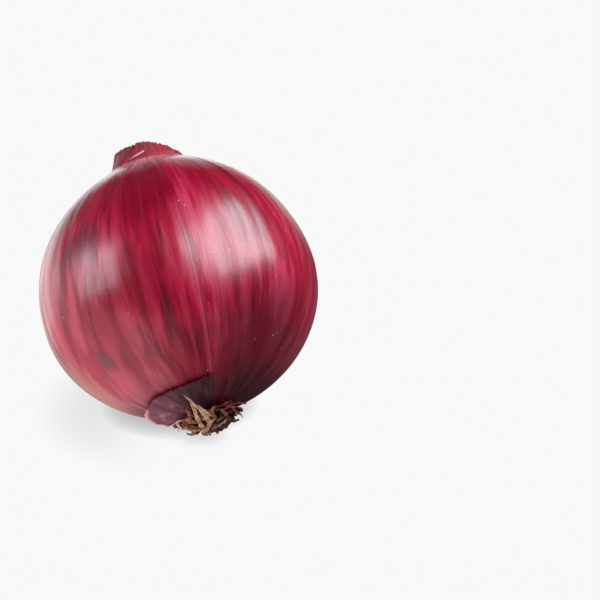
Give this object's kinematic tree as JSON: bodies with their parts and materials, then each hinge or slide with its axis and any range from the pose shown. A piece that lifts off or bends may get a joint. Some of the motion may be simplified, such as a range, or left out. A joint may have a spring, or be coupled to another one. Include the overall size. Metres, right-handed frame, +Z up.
{
  "type": "red onion",
  "caption": "Whole red onion with a torn dry neck, papery skin and a tuft of dried roots, lying tilted on its side.",
  "frame": {"origin": "middle of the small flat spot on the lower side that the onion rests on, in the plane of the surface below", "axes": "+Z up, away from the surface below; the onion's own axis lies in the YZ plane, with the root end towards -Y and down and the neck towards +Y and up; +X is to the right of someone who faces the root end"},
  "size_m": [0.0801, 0.0782, 0.0766],
  "materials": {
    "skin": "satin, thin tight onion skin with streaks from neck to root",
    "dry_skin": "dull, dry torn onion skin",
    "neck_leaf": "dull, dried and curled inner leaves",
    "cork": "matte, dry corky root plate",
    "root": "matte, dry fibrous roots"
  },
  "bodies": {
    "root": {"bulb": "skin", "root_plate": "cork", "skin_flap": "dry_skin", "neck_leaf_outer": "neck_leaf", "neck_leaf_middle": "neck_leaf", "neck_leaf_inner": "neck_leaf", "root_1": "root", "root_2": "root", "root_3": "root", "root_4": "root", "root_5": "root", "root_6": "root", "root_7": "root", "root_8": "root", "root_9": "root", "root_10": "root", "root_11": "root", "root_12": "root", "root_13": "root", "root_14": "root", "root_15": "root", "root_16": "root", "long_root_1": "root", "long_root_2": "root", "long_root_3": "root", "skin_shred_1": "dry_skin", "skin_shred_2": "dry_skin", "skin_shred_3": "dry_skin", "skin_shred_4": "dry_skin", "skin_shred_5": "dry_skin", "skin_shred_6": "dry_skin", "skin_shred_7": "dry_skin", "skin_shred_8": "dry_skin", "skin_shred_9": "dry_skin", "skin_shred_10": "dry_skin"}
  },
  "joints": []
}
